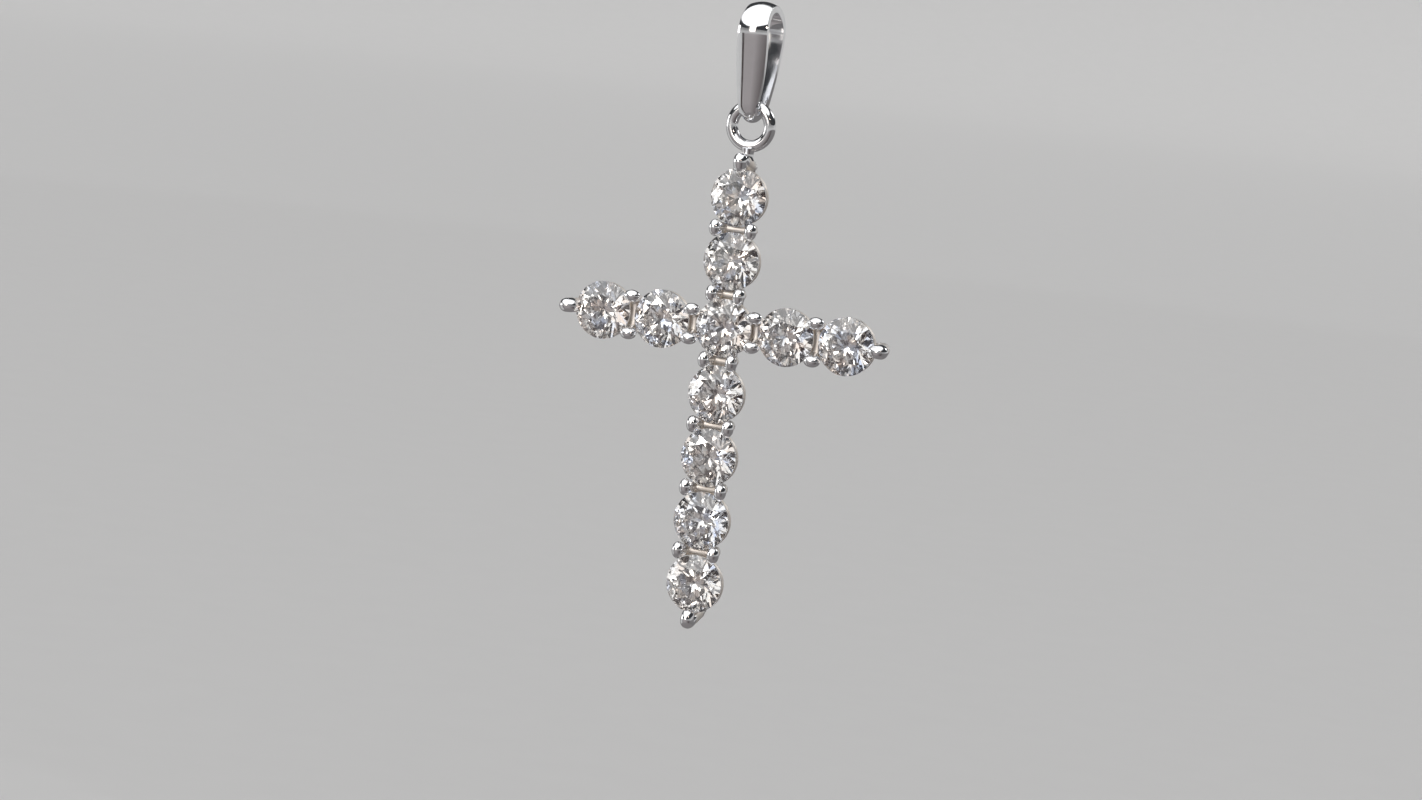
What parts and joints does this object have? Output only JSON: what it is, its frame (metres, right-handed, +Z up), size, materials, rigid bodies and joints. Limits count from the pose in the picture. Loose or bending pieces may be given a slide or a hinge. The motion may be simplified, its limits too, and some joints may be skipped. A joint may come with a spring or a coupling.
{
  "type": "cross pendant",
  "caption": "Cross pendant of round brilliant-cut stones in shared prongs, hanging by a soldered ring in the bottom bend of a tapering folded bail.",
  "frame": {"origin": "the chain's seat, at the middle of the bail's inside top, from which the pendant hangs", "axes": "+Z up, the front of the cross faces -Y, and +X is to the viewer's right"},
  "size_m": [0.0174, 0.003, 0.0313],
  "materials": {
    "white_metal": "mirror polished white precious metal",
    "diamond": "clear stone with polished facets"
  },
  "bodies": {
    "bail": {"bail": "white_metal"},
    "cross": {"setting": "white_metal", "top_outer_stone": "diamond", "top_inner_stone": "diamond", "centre_stone": "diamond", "left_inner_stone": "diamond", "left_outer_stone": "diamond", "right_inner_stone": "diamond", "right_outer_stone": "diamond", "lower_first_stone": "diamond", "lower_second_stone": "diamond", "lower_third_stone": "diamond", "lower_last_stone": "diamond"}
  },
  "joints": [
    {"name": "cross_swing", "type": "hinge", "parent": "bail", "child": "cross", "pos_m": [0, 0, -0.00465], "axis": [1, 0, 0], "range_deg": [-120, 120]}
  ]
}
